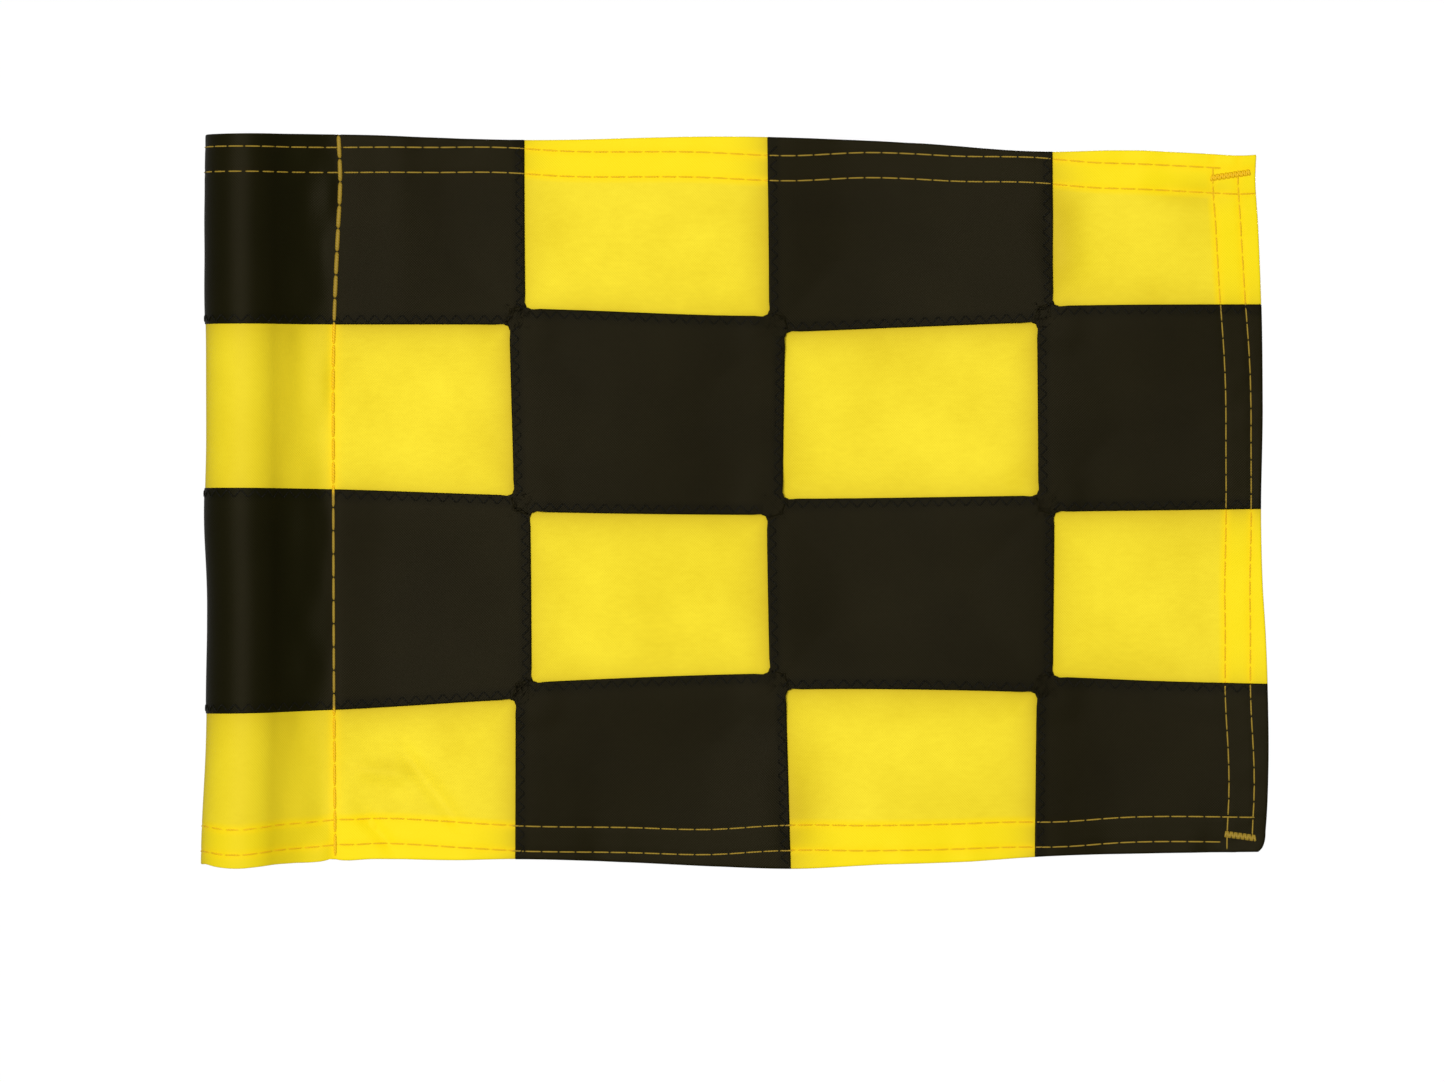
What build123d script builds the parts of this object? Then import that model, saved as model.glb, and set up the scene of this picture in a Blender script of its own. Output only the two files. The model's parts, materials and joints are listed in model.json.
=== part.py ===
from build123d import *
import math
import os

# Checkered pole flag: sixteen pieces of woven nylon sewn into a 4 by 4 check, hemmed on three sides,
# with its pole end folded back and sewn into a sleeve round a plastic tube that slips over a flagstick.
#
# Millimetres. +Z runs up the flagstick, +X from the flagstick to the free edge (the fly), and the front
# faces -Y. The origin is on the tube's axis at its lower mouth. The cloth lies about the plane Y = 0.
# The flag bends at its three upright seams, so the solids each side of one stop short of its hinge line.

# Cloth and sleeve
CLOTH = 0.4                       # thickness of the cloth
TUBE_BORE_R = 6.5                 # takes a 12.7 mm flagstick
TUBE_WALL = 0.45
TUBE_LENGTH = 136.0
SLEEVE_GAP = 0.3                  # between the tube and the cloth round it
SLEEVE_TIP_X = 16.6               # where the sleeve's front and back layers come together
FLAP_END_X = 18.9                 # where the folded-back layer ends, behind the flag

# Outline and checks
COLUMN_SEAM_X = (52.6, 102.0, 153.0)
FLY_X = 194.4
ROW_SEAM_Z = (103.1, 67.5, 32.3)  # from the top row down
TOP_Z = (137.8, 134.2)            # at the sleeve's fold and at the fly
BOTTOM_Z = (-1.9, 0.6)

# Hems and room for the bending seams
HEM_DEPTH = 7.8
FLY_HEM_DEPTH = 7.6
HINGE_ROOM = 0.3                  # each side of a hinge line
HEM_ROOM = 1.1                    # the same for the thicker hems, so that they clear at 80 degrees

# Thread
THREAD = 0.15                     # how far a row of stitches stands proud
THREAD_WIDTH = 0.6
HEM_ROWS = (2.5, 7.2)             # from the top and bottom edges
FLY_ROW_X = (187.4, 192.4)
SLEEVE_ROW_X = 17.2
ROW_SEAM_OFFSET = 1.2             # to the side of the row seam that the black cloth laps
COLUMN_SEAM_OFFSET = 1.3
TACK_HEIGHT = 1.4
TACK_PROUD = 0.3
TOP_TACK = (184.1, 191.2, 130.2)  # start X, end X, Z
BOTTOM_TACK = (188.0, 192.2, 3.9)

# Worked out from the above
FRONT_Y = -CLOTH / 2
BACK_Y = CLOTH / 2
HEM_BACK_Y = BACK_Y + CLOTH
TUBE_R = TUBE_BORE_R + TUBE_WALL
SLEEVE_IN_R = TUBE_R + SLEEVE_GAP
SLEEVE_OUT_R = SLEEVE_IN_R + CLOTH
FOLD_X = -SLEEVE_OUT_R
SLEEVE_SLOPE = math.tan(math.asin(SLEEVE_OUT_R / SLEEVE_TIP_X))
FLAP_START_X = SLEEVE_TIP_X - HEM_BACK_Y / SLEEVE_SLOPE
COLUMN_EDGES = (FOLD_X,) + COLUMN_SEAM_X + (FLY_X,)
CLEAR = 20.0                      # well outside the sleeve, for cutting solids
COLUMNS = (1, 2, 3, 4)
ROWS = (1, 2, 3, 4)


def slanted(heights, inset=0.0):
    """Height of a straight edge from the fold to the fly, moved up by inset."""
    slope = (heights[1] - heights[0]) / (FLY_X - FOLD_X)

    def height(x):
        return heights[0] + slope * (x - FOLD_X) + inset

    return height


def level(z):
    """The same height at every x."""
    return slanted((z, z))


def slab(x0, x1, low, high, y0, y1):
    """Upright sheet from x0 to x1, between two edge heights and two depths."""
    corners = [(x0, y0, low(x0)), (x1, y0, low(x1)), (x1, y0, high(x1)), (x0, y0, high(x0))]
    face = make_face(Polyline(*corners, close=True))
    return extrude(face, amount=y1 - y0, dir=(0, 1, 0))


def teardrop(radius):
    """Section of the sleeve at one of its surfaces: a circle drawn out to a tip towards the fly."""
    tip_x = SLEEVE_TIP_X * radius / SLEEVE_OUT_R
    lean = math.acos(radius / tip_x)
    touch = (radius * math.cos(lean), radius * math.sin(lean))
    tip = Polygon((tip_x, 0), touch, (touch[0], -touch[1]), align=None)
    return Circle(radius) + tip


def sleeve_wrap(inner_r, outer_r, end_x, low, high):
    """Layer round the sleeve between two surfaces, as far as end_x."""
    ring = teardrop(outer_r) - teardrop(inner_r)
    tall = extrude(Location((0, 0, BOTTOM_Z[0] - CLEAR)) * ring, TOP_Z[0] - BOTTOM_Z[0] + 2 * CLEAR)
    return tall & slab(-CLEAR, end_x, low, high, -CLEAR, CLEAR)


def row_edges(row):
    """Lower and upper edge heights of a row of checks."""
    high = slanted(TOP_Z) if row == 1 else level(ROW_SEAM_Z[row - 2])
    low = slanted(BOTTOM_Z) if row == 4 else level(ROW_SEAM_Z[row - 1])
    return low, high


def column_span(column, room):
    """Start and end x of a column's flat cloth, leaving room at its hinge lines."""
    start = FLAP_END_X if column == 1 else COLUMN_EDGES[column - 1] + room
    end = FLY_X if column == 4 else COLUMN_EDGES[column] - room
    return start, end


def is_black(row, column):
    return (row + column) % 2 == 0


def hem(row, column):
    """The cloth folded to the back along the outer edges of one check."""
    low, high = row_edges(row)
    start, end = column_span(column, HEM_ROOM)
    folds = []
    if row == 1:
        folds.append(slab(start, end, slanted(TOP_Z, -HEM_DEPTH), high, BACK_Y, HEM_BACK_Y))
    if row == 4:
        folds.append(slab(start, end, low, slanted(BOTTOM_Z, HEM_DEPTH), BACK_Y, HEM_BACK_Y))
    if column == 4:
        folds.append(slab(FLY_X - FLY_HEM_DEPTH, FLY_X, low, high, BACK_Y, HEM_BACK_Y))
    return folds


def check(row, column):
    """One piece of cloth. In the first column it also goes round the tube and back behind the flag."""
    low, high = row_edges(row)
    start, end = column_span(column, HINGE_ROOM)
    if column == 1:
        wrap = sleeve_wrap(SLEEVE_IN_R, SLEEVE_OUT_R, SLEEVE_TIP_X, low, high)
        flap = slab(FLAP_START_X, FLAP_END_X, low, high, BACK_Y, HEM_BACK_Y)
        meeting_x = (SLEEVE_TIP_X * SLEEVE_IN_R / SLEEVE_OUT_R + SLEEVE_TIP_X) / 2
        cloth = wrap + slab(meeting_x, end, low, high, FRONT_Y, BACK_Y) + flap
    else:
        cloth = slab(start, end, low, high, FRONT_Y, BACK_Y)
    for fold in hem(row, column):
        cloth = cloth + fold
    return cloth


def stitch_row(column, low, high, back_y):
    """A row of stitches across one column, on the front, on the back and round the sleeve."""
    start, end = column_span(column, HEM_ROOM)
    start = SLEEVE_ROW_X + THREAD_WIDTH if column == 1 else start
    end = FLY_ROW_X[0] - THREAD_WIDTH if column == 4 else end - COLUMN_SEAM_OFFSET
    back_start = FLAP_END_X + THREAD_WIDTH if column == 1 else start
    pieces = [
        slab(start, end, low, high, FRONT_Y - THREAD, FRONT_Y),
        slab(back_start, end, low, high, back_y, back_y + THREAD),
    ]
    if column == 1:
        ring_end = FLAP_START_X - THREAD_WIDTH
        pieces.append(sleeve_wrap(SLEEVE_OUT_R, SLEEVE_OUT_R + THREAD, ring_end, low, high))
    return pieces


def hem_thread(column, heights, direction):
    """Both rows of a top or bottom hem across one column; direction points into the flag."""
    pieces = []
    for inset in HEM_ROWS:
        low = slanted(heights, direction * inset - THREAD_WIDTH / 2)
        high = slanted(heights, direction * inset + THREAD_WIDTH / 2)
        pieces += stitch_row(column, low, high, HEM_BACK_Y)
    return pieces


def row_seam_thread(seam, column):
    """The stitches that hold one check to the check below it, along the lapped edge of the black one."""
    side = -1 if is_black(seam, column) else 1
    z = ROW_SEAM_Z[seam - 1] + side * ROW_SEAM_OFFSET
    return stitch_row(column, level(z - THREAD_WIDTH / 2), level(z + THREAD_WIDTH / 2), BACK_Y)


def upright_thread(x, back_y):
    """A row of stitches from the bottom edge to the top edge, front and back."""
    x0 = x - THREAD_WIDTH / 2
    x1 = x + THREAD_WIDTH / 2
    low = slanted(BOTTOM_Z, THREAD_WIDTH)
    high = slanted(TOP_Z, -THREAD_WIDTH)
    return [
        slab(x0, x1, low, high, FRONT_Y - THREAD, FRONT_Y),
        slab(x0, x1, low, high, back_y, back_y + THREAD),
    ]


def column_seam_thread(seam):
    """The upright stitches beside a column seam, between the hems."""
    x = COLUMN_SEAM_X[seam - 1] - COLUMN_SEAM_OFFSET
    low = slanted(BOTTOM_Z, HEM_DEPTH + THREAD_WIDTH)
    high = slanted(TOP_Z, -HEM_DEPTH - THREAD_WIDTH)
    between = slab(x - THREAD_WIDTH, x + THREAD_WIDTH, low, high, -CLEAR, CLEAR)
    return [piece & between for piece in upright_thread(x, BACK_Y)]


def bar_tack(start, end, z):
    """A short dense bar of stitches that locks the corner of the fly hem."""
    low = level(z - TACK_HEIGHT / 2)
    high = level(z + TACK_HEIGHT / 2)
    return [
        slab(start, end, low, high, FRONT_Y - TACK_PROUD, FRONT_Y),
        slab(start, end, low, high, HEM_BACK_Y, HEM_BACK_Y + TACK_PROUD),
    ]


def fly_hem_thread():
    """Two upright rows along the fly, broken where a bar tack covers them."""
    tack_zone = []
    for start, end, z in (TOP_TACK, BOTTOM_TACK):
        tack_zone.append(slab(start, end, level(z - TACK_HEIGHT / 2), level(z + TACK_HEIGHT / 2), -1, 1))
    pieces = []
    for x in FLY_ROW_X:
        for strip in upright_thread(x, HEM_BACK_Y):
            pieces += (strip - tack_zone).solids()
    return pieces


def tube_insert():
    return extrude(Circle(TUBE_R) - Circle(TUBE_BORE_R), TUBE_LENGTH)


def node_parts():
    """Every named sub-part and its solids."""
    parts = {"tube_insert": [tube_insert()]}
    for row in ROWS:
        for column in COLUMNS:
            colour = "black" if is_black(row, column) else "yellow"
            parts[f"{colour}_check_row{row}_col{column}"] = [check(row, column)]
    for column in COLUMNS:
        parts[f"top_hem_thread_col{column}"] = hem_thread(column, TOP_Z, -1)
        parts[f"bottom_hem_thread_col{column}"] = hem_thread(column, BOTTOM_Z, 1)
        for seam in (1, 2, 3):
            parts[f"row_seam{seam}_thread_col{column}"] = row_seam_thread(seam, column)
    for seam in (1, 2, 3):
        parts[f"column_seam{seam}_thread"] = column_seam_thread(seam)
    parts["sleeve_thread"] = upright_thread(SLEEVE_ROW_X, HEM_BACK_Y)
    parts["fly_hem_thread"] = fly_hem_thread()
    parts["bar_tack_top"] = bar_tack(*TOP_TACK)
    parts["bar_tack_bottom"] = bar_tack(*BOTTOM_TACK)
    return parts


os.makedirs("parts", exist_ok=True)
for name, shapes in node_parts().items():
    solids = [solid for shape in shapes for solid in shape.solids()]
    part = solids[0] if len(solids) == 1 else Compound(children=solids)
    export_step(part, f"parts/{name}.step")
    print(name, len(solids), "solids")
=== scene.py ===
"""Checkered pole flag: sixteen lapped checks of woven nylon, hems, stitches and the tube in the sleeve.

All lengths are millimetres until a mesh is made, and then metres, as in the CAD frame: +X from the pole to
the fly, +Z up, and the front of the flag faces -Y. Cloth and stitches are laid out in the flat pattern, at
(u, v, n): u along the flag, v up it, and n out of its front. surface() places any such point in space.
"""
import json
import math

import bpy
import numpy as np
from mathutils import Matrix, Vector


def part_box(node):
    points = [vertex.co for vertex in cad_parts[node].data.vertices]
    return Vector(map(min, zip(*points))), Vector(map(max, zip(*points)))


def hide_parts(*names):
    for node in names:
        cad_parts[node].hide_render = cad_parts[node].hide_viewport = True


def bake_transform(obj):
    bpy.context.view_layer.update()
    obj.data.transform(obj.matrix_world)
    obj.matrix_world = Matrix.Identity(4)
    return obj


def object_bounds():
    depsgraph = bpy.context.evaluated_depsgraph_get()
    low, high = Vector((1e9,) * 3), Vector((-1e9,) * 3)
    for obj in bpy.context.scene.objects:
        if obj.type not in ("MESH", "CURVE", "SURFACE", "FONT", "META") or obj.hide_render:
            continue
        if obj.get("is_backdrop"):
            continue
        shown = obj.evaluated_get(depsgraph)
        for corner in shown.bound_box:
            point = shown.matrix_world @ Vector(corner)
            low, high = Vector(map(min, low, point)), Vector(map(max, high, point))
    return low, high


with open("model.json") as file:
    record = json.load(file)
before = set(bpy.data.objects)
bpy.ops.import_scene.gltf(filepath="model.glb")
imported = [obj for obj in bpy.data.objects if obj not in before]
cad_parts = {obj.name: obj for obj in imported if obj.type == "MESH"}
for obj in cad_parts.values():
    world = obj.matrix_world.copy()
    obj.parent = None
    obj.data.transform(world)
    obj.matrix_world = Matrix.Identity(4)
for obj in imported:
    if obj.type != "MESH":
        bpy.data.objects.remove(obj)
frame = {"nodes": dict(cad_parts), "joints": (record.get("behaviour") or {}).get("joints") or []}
cad_low, cad_high = (list(corner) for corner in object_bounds())

MM = 0.001

# ---------------------------------------------------------------- sizes, in millimetres
CLOTH = 0.2                      # thickness of the nylon
LAYER = 0.25                     # from one layer to the next where cloth lies on cloth
LAP = 1.45                       # how far the folded edge of a black check covers a yellow one
FILLET = 0.8                     # the laps round off the corners of the yellow checks
TURN_UNDER = 4.0                 # the part of a black check's edge that is folded under
ALLOWANCE = 4.0                  # how far a yellow check goes on under a black one
TRIM = 0.375                     # how much of that is cut away at the corners of a yellow check
ROW_GAP = 4.8                    # between the two rows of stitches along a hem
HEM_MARGIN = 0.7                 # from the inner row to the fold of the hem
HEM_DEPTH = 7.8                  # a hem's usual depth; its stations stretch to the depth at each place
HEM_STITCH = 3.25
SLEEVE_STITCH = 4.4
ZIGZAG_STITCH = 1.3              # along the edge, for one leg of the zigzag
ZIGZAG_REACH = (0.25, 1.75)      # in from the folded edge
YARN_PAIR = 0.5                  # two threads of the weave
PRESS = 0.11                     # how deep a row of stitches pulls the cloth in

SEAM_HINGES = [j["pos_m"][0] / MM for j in frame["joints"] if not j.get("continuous")]
TUBE_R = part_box("tube_insert")[1].x / MM
STITCH_U = 17.0                  # where the sleeve is sewn shut
FLAP_U = 18.9                    # where its back layer ends
FLAP_TURN = 3.0                  # the part of its end that is folded under
SLEEVE_R = TUBE_R + 0.5          # middle of the cloth round the tube

# ---------------------------------------------------------------- outline and seams, as smooth curves
TOP_EDGE = ((-8, 137.8), (17, 137.9), (50, 136.9), (96, 137.5), (128, 136.3), (152, 134.6), (170, 134.8),
            (183, 134.2), (192, 133.9), (195, 134.2))
BOTTOM_EDGE = ((-50, -0.3), (-42, -0.3), (-30, -1.3), (-15, -1.5), (-9.5, -1.4), (-7, -1.8), (-2.5, -2.1),
               (1, -1.8), (5, -1.4), (9, -1.2), (14.5, -0.9), (16.5, -0.5), (18, -0.7), (24, -0.5),
               (40, -0.7), (52, -0.5), (72, -1.1), (90, -1.9), (104, -2.3), (122, -1.5), (138, -1.0),
               (153, 0.0), (170, 0.5), (195, 0.9))
FLY_EDGE = ((0.4, 193.0), (1.4, 194.2), (2.8, 194.8), (5, 195.0), (18, 195.5), (30, 195.4), (42, 195.0),
            (52, 194.4), (63, 194.1), (86, 194.4), (102, 194.2), (121, 193.5), (130, 193.0), (134.5, 193.2))
ROW_SEAMS = (
    ((-60, 103.2), (17, 103.2), (52.6, 103.1), (102, 101.8), (127, 102.7), (153, 103.6), (200, 104.0)),
    ((-60, 68.6), (17, 68.6), (52.6, 67.4), (102, 66.8), (153, 67.4), (200, 68.0)),
    ((-60, 28.7), (17, 29.5), (52.6, 31.6), (102, 33.4), (153, 32.8), (175, 31.9), (200, 31.3)),
)
COLUMN_SEAMS = (
    ((-5, 53.1), (32, 53.2), (68, 52.9), (103, 52.0), (140, 51.7)),
    ((-5, 102.8), (32, 101.8), (68, 101.2), (103, 101.6), (140, 101.3)),
    ((-5, 152.4), (32, 152.8), (68, 153.1), (103, 152.9), (140, 152.7)),
)
# How far the outer row of stitches lies in from the edge, along each hem.
TOP_ROW = ((-8, 2.3), (17, 2.4), (34, 1.9), (49, 1.4), (62, 2.2), (84, 2.8), (104, 3.4), (119, 2.2),
           (135, 1.9), (151, 1.1), (164, 2.3), (181, 2.5), (195, 2.5))
BOTTOM_ROW = ((-8, 2.4), (37, 2.6), (53, 1.5), (73, 1.8), (88, 2.1), (105, 3.5), (119, 2.7),
              (145, 2.2), (155, 1.6), (168, 2.1), (195, 1.7))
FLY_ROW = ((-2, 2.6), (12, 2.5), (32, 3.2), (47, 2.6), (65, 1.8), (80, 2.1), (92, 2.3), (106, 3.0),
           (138, 3.4))


def through(points, t):
    """Smooth curve through (t, value) points."""
    xs, ys = np.array(points, float).T
    slopes = np.gradient(ys, xs)
    t = np.clip(np.asarray(t, float), xs[0], xs[-1])
    k = np.clip(np.searchsorted(xs, t) - 1, 0, len(xs) - 2)
    h = xs[k + 1] - xs[k]
    s = (t - xs[k]) / h
    ends = (1 + 2 * s) * (1 - s) ** 2 * ys[k] + s * s * (3 - 2 * s) * ys[k + 1]
    return ends + s * (1 - s) ** 2 * h * slopes[k] + s * s * (s - 1) * h * slopes[k + 1]


def smooth(t):
    t = np.clip(t, 0.0, 1.0)
    return t * t * (3 - 2 * t)


def is_black(row, column):
    return (row + column) % 2 == 0


def row_line(k, u):
    """Height of the k-th line across the flag: 0 is the top edge, 4 the bottom edge, others are seams."""
    lines = (TOP_EDGE,) + ROW_SEAMS + (BOTTOM_EDGE,)
    return through(lines[k], u)


def column_line(k, v):
    """Position of the k-th upright line: 1 to 3 are seams and 4 is the fly edge."""
    lines = (None,) + COLUMN_SEAMS + (FLY_EDGE,)
    return through(lines[k], v)


def hem_rows(points, t):
    """How far in from the edge both rows of a hem's stitches lie."""
    outer = through(points, t)
    return outer, outer + ROW_GAP


def hem_stretch(points, t):
    """The hem's depth at a place, as a share of its usual depth."""
    return (hem_rows(points, t)[1] + HEM_MARGIN) / HEM_DEPTH


# ---------------------------------------------------------------- the sleeve's section
def sleeve_section():
    """Points and outward normals along the cloth, from the front of the sleeve's stitch line round the tube
    to the turned-under end behind the flag, evenly spaced by arc length."""
    back_y = 2 * LAYER
    lean = 2 * math.atan(SLEEVE_R / STITCH_U)
    front_r = SLEEVE_R * math.cos(lean) / (1 - math.cos(lean))
    back_lean = 2 * math.atan((SLEEVE_R - back_y) / STITCH_U)
    back_r = STITCH_U / math.sin(back_lean) - SLEEVE_R
    a = np.linspace(0, lean, 60)
    front = np.column_stack((STITCH_U - front_r * np.sin(a), -front_r * (1 - np.cos(a))))
    b = np.linspace(lean, -math.pi - back_lean, 200)[1:]
    loop = np.column_stack((SLEEVE_R * np.sin(b), -SLEEVE_R * np.cos(b)))
    a = np.linspace(back_lean, 0, 60)[1:]
    back = np.column_stack((STITCH_U - back_r * np.sin(a), back_y + back_r * (1 - np.cos(a))))
    c = np.linspace(math.pi / 2, -math.pi / 2, 9)
    turn = np.column_stack((FLAP_U + LAYER / 2 * np.cos(c), back_y - LAYER / 2 + LAYER / 2 * np.sin(c)))
    end = np.array([[FLAP_U - FLAP_TURN, LAYER]])
    points = np.vstack((front, loop, back, turn, end))
    lengths = np.concatenate(([0], np.cumsum(np.linalg.norm(np.diff(points, axis=0), axis=1))))
    s = np.linspace(0, lengths[-1], 1600)
    points = np.column_stack([np.interp(s, lengths, points[:, k]) for k in (0, 1)])
    along = np.gradient(points, s, axis=0)
    along /= np.linalg.norm(along, axis=1)[:, None]
    return s, points, np.column_stack((-along[:, 1], along[:, 0]))


SECTION_S, SECTION_XY, SECTION_N = sleeve_section()
SLEEVE_LENGTH = SECTION_S[-1]
SLEEVE_ROW_X = ((-5, 17.2), (35, 16.9), (70, 16.8), (100, 16.9), (120, 17.7), (128, 18.1), (140, 17.7))


# ---------------------------------------------------------------- the lie of the cloth
def value_noise(u, v, seed):
    """Smooth noise about -1 to 1, one swing per unit."""
    def corner(i, j):
        h = np.sin(i * 127.1 + j * 311.7 + seed * 74.7) * 43758.5453
        return 2 * (h - np.floor(h)) - 1

    i, j = np.floor(u), np.floor(v)
    a, b = smooth(u - i), smooth(v - j)
    low = corner(i, j) * (1 - a) + corner(i + 1, j) * a
    high = corner(i, j + 1) * (1 - a) + corner(i + 1, j + 1) * a
    return low * (1 - b) + high * b


def crease(u, v, start, end, width, height):
    """A soft straight fold in the cloth, strongest halfway along."""
    d = np.array(end, float) - np.array(start, float)
    length = np.linalg.norm(d)
    d /= length
    along = ((u - start[0]) * d[0] + (v - start[1]) * d[1]) / length
    across = -(u - start[0]) * d[1] + (v - start[1]) * d[0]
    return height * np.exp(-(across / width) ** 2) * smooth(along * 3) * smooth((1 - along) * 3)


CREASES = (
    ((27, 24), (44, 2), 1.6, 0.8),
    ((19, 17), (33, 15), 1.8, -0.8),
    ((20, 11), (30, -1), 1.5, 0.7),
    ((153, 129), (158, 107), 4.0, -1.3),
    ((170, 129), (189, 125), 2.2, 0.7),
    ((103, 24), (105, -2), 3.5, -1.0),
)
# Painted shade: darker patches of the cloth, as (u, v, reach along, reach up, strength).
PAINTED_SHADE_PATCHES = ((156, 118, 4, 12, 0.55), (183, 127, 7, 3, 0.4), (105, 7, 5, 10, 0.5), (27, 17, 6, 2, 0.25))


def relief(u, v):
    """How far the middle of the cloth stands behind its plane, in the flat part of the flag."""
    waves = 1.1 * np.sin(2 * math.pi * (u / 150 + v / 260) + 0.6)
    waves += 0.6 * np.sin(2 * math.pi * (u / 83 - v / 190) + 2.0)
    waves += 0.45 * value_noise(u / 24, v / 21, 1)
    top, bottom = row_line(0, u) - v, v - row_line(4, u)
    near_edge = np.exp(-np.minimum(top, bottom) / 6.0)
    ripple = 0.28 * value_noise(u / 4.2, v / 14, 2) * near_edge
    fly = column_line(4, v) - u
    ripple += 0.25 * value_noise(u / 14, v / 4.2, 3) * np.exp(-np.abs(fly - 4) / 5.0)
    folds = sum(crease(u, v, *c) for c in CREASES)
    return smooth((u - STITCH_U) / 14) * (waves + ripple) + smooth((u - STITCH_U) / 3) * folds


def surface(u, v, n):
    """Where a pattern point lies in space, in millimetres."""
    u, v, n = np.broadcast_arrays(np.asarray(u, float), v, n)
    h = 0.25
    y = relief(u, v)
    slope_u = (relief(u + h, v) - relief(u - h, v)) / (2 * h)
    slope_v = (relief(u, v + h) - relief(u, v - h)) / (2 * h)
    normal = np.stack((slope_u, -np.ones_like(u), slope_v), -1)
    normal /= np.linalg.norm(normal, axis=-1, keepdims=True)
    flat = np.stack((u, y, v), -1) + normal * n[..., None]

    s = np.clip(STITCH_U - u, 0, SLEEVE_LENGTH)
    x, y = (np.interp(s, SECTION_S, SECTION_XY[:, k]) for k in (0, 1))
    nx, ny = (np.interp(s, SECTION_S, SECTION_N[:, k]) for k in (0, 1))
    wide = 1 + 0.05 * smooth((32 - v) / 34) + 0.012 * smooth((v - 112) / 12)
    wide += 0.012 * value_noise(s / 30, v / 16, 5)
    squeeze = 0.9 * value_noise(s / 7, v / 9, 4) * smooth(s / 3) * smooth((11 - s) / 6)
    x = STITCH_U + (x - STITCH_U) * wide + nx * (n + squeeze)
    y = y * wide + ny * (n + squeeze)
    round_tube = np.stack((x, y, v), -1)
    placed = np.where((u < STITCH_U)[..., None], round_tube, flat)
    shift = through(SLEEVE_ROW_X, v) - STITCH_U
    placed[..., 0] += shift * np.exp(-(((placed[..., 0] - STITCH_U) / 8) ** 2))
    return placed


# ---------------------------------------------------------------- edges of one check, as stations
# A station is (share, offset, fold, side, lap, hem): it lies at share of the way from the low edge to the
# high edge plus offset; fold is how many layers it lies behind the cloth; side is -1 where the cloth is
# turned over; lap is how many layers a black edge stands in front; hem is 1 where it belongs to a hem.
LAP_HEIGHT = ((0.3, 2), (0.8, 2), (1.6, 2), (2.6, 2), (3.6, 1.98), (4.6, 1.88), (5.8, 1.68), (7.2, 1.4),
              (8.6, 1.12), (10.0, 0.84), (11.4, 0.56), (12.8, 0.3), (14.2, 0.1), (15.6, 0))


def lap_side():
    fold = ((TURN_UNDER, 1), (2.4, 1), (0.6, 1), (0.12, 1.04), (0.02, 1.25), (0.0, 1.5), (0.02, 1.75),
            (0.12, 1.96))
    return [(0, d, 0, 1, lap, 0) for d, lap in fold + LAP_HEIGHT]


def under_side():
    return [(0, d, 0, 1, 0, 0) for d in (-ALLOWANCE, -2.6, -1.2, 0, 1.0, 1.7, 2.4, 3.4, 4.6, 5.8, 7.0)]


def hem_side():
    depth = HEM_DEPTH
    marks = [0.32, 0.7] + [1.2 + 0.5 * k for k in range(14)]
    stations = [(depth - 3.5, 1, 1), (depth - 0.5, 1, 1), (depth - 0.12, 1.05, 1)]
    stations += [(depth - 0.02, 1.25, -1), (depth, 1.5, -1), (depth - 0.02, 1.75, -1)]
    stations += [(d, 2, -1) for d in reversed(marks) if d < depth - 0.12]
    stations += [(0.12, 1.85, -1), (0.03, 1.5, -1), (0.0, 1.0, 1), (0.03, 0.5, 1), (0.12, 0.15, 1)]
    stations += [(d, 0, 1) for d in marks + [depth + 0.6, depth + 1.6]]
    return [(0, d, fold, side, 0, 1) for d, fold, side in stations]


def mirrored(stations):
    return [(1 - share, -offset, *rest) for share, offset, *rest in reversed(stations)]


def with_middle(low, high, span, step):
    """Adds evenly spaced stations between the two sides."""
    start, stop = low[-1][1], high[0][1]
    count = max(2, round((span - start + stop) / step))
    middle = []
    for k in range(1, count):
        g = k / count
        middle.append((g, start * (1 - g) + stop * g, 0, 1, 0, low[-1][5] * (1 - g) + high[0][5] * g))
    return np.array(low + middle + high, float).T


def side_kind(black, outer):
    return "hem" if outer else ("lap" if black else "under")


def side_stations(kind):
    return {"lap": lap_side, "under": under_side, "hem": hem_side}[kind]()


def fillet(d):
    """Extra lap near a junction of seams; d is how far a point is past the crossing lap's edge."""
    round_part = FILLET - np.sqrt(FILLET ** 2 - (FILLET - np.clip(d, 0, FILLET)) ** 2)
    return np.where(d >= 0, round_part, FILLET * smooth(1 + d / LAP))


def past_row_laps(row, u, v):
    """How far a point of a row of checks is from the laps along that row's seams."""
    d = np.full(np.shape(u + v), 99.0)
    if row > 1:
        d = np.minimum(d, row_line(row - 1, u) - LAP - v)
    if row < 4:
        d = np.minimum(d, v - row_line(row, u) - LAP)
    return d


def past_column_laps(column, u, v):
    d = np.full(np.shape(u + v), 99.0)
    if column > 1:
        d = np.minimum(d, u - column_line(column - 1, v) - LAP)
    if column < 4:
        d = np.minimum(d, column_line(column, v) - LAP - u)
    return d


def row_lap(kind, column, u, v):
    """How far a check's edge along a row seam lies past that seam."""
    return LAP + fillet(past_column_laps(column, u, v)) if kind == "lap" else 0.0


def column_lap(kind, row, u, v):
    return LAP + fillet(past_row_laps(row, u, v)) if kind == "lap" else 0.0


# ---------------------------------------------------------------- heights of the finished stack
def corner_lift(row, column, u, v):
    """How far a black check in an even row has risen to pass over its diagonal neighbours, 0 to 1."""
    lift = np.zeros_like(u)
    for k in (row - 1, row):
        for m in (column - 1, column):
            if 0 < k < 4 and 0 < m < 4:
                du = np.abs(u - column_line(m, v))
                dv = np.abs(v - row_line(k, u))
                lift = np.maximum(lift, smooth((8.5 - du) / 4.5) * smooth((8.5 - dv) / 4.5))
    return lift


def layer_height(u):
    """Height of one layer; the layers lie closer together where the sleeve is drawn round the tube."""
    return LAYER * (1 - 0.7 * smooth((STITCH_U + 1 - u) / 2))


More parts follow.
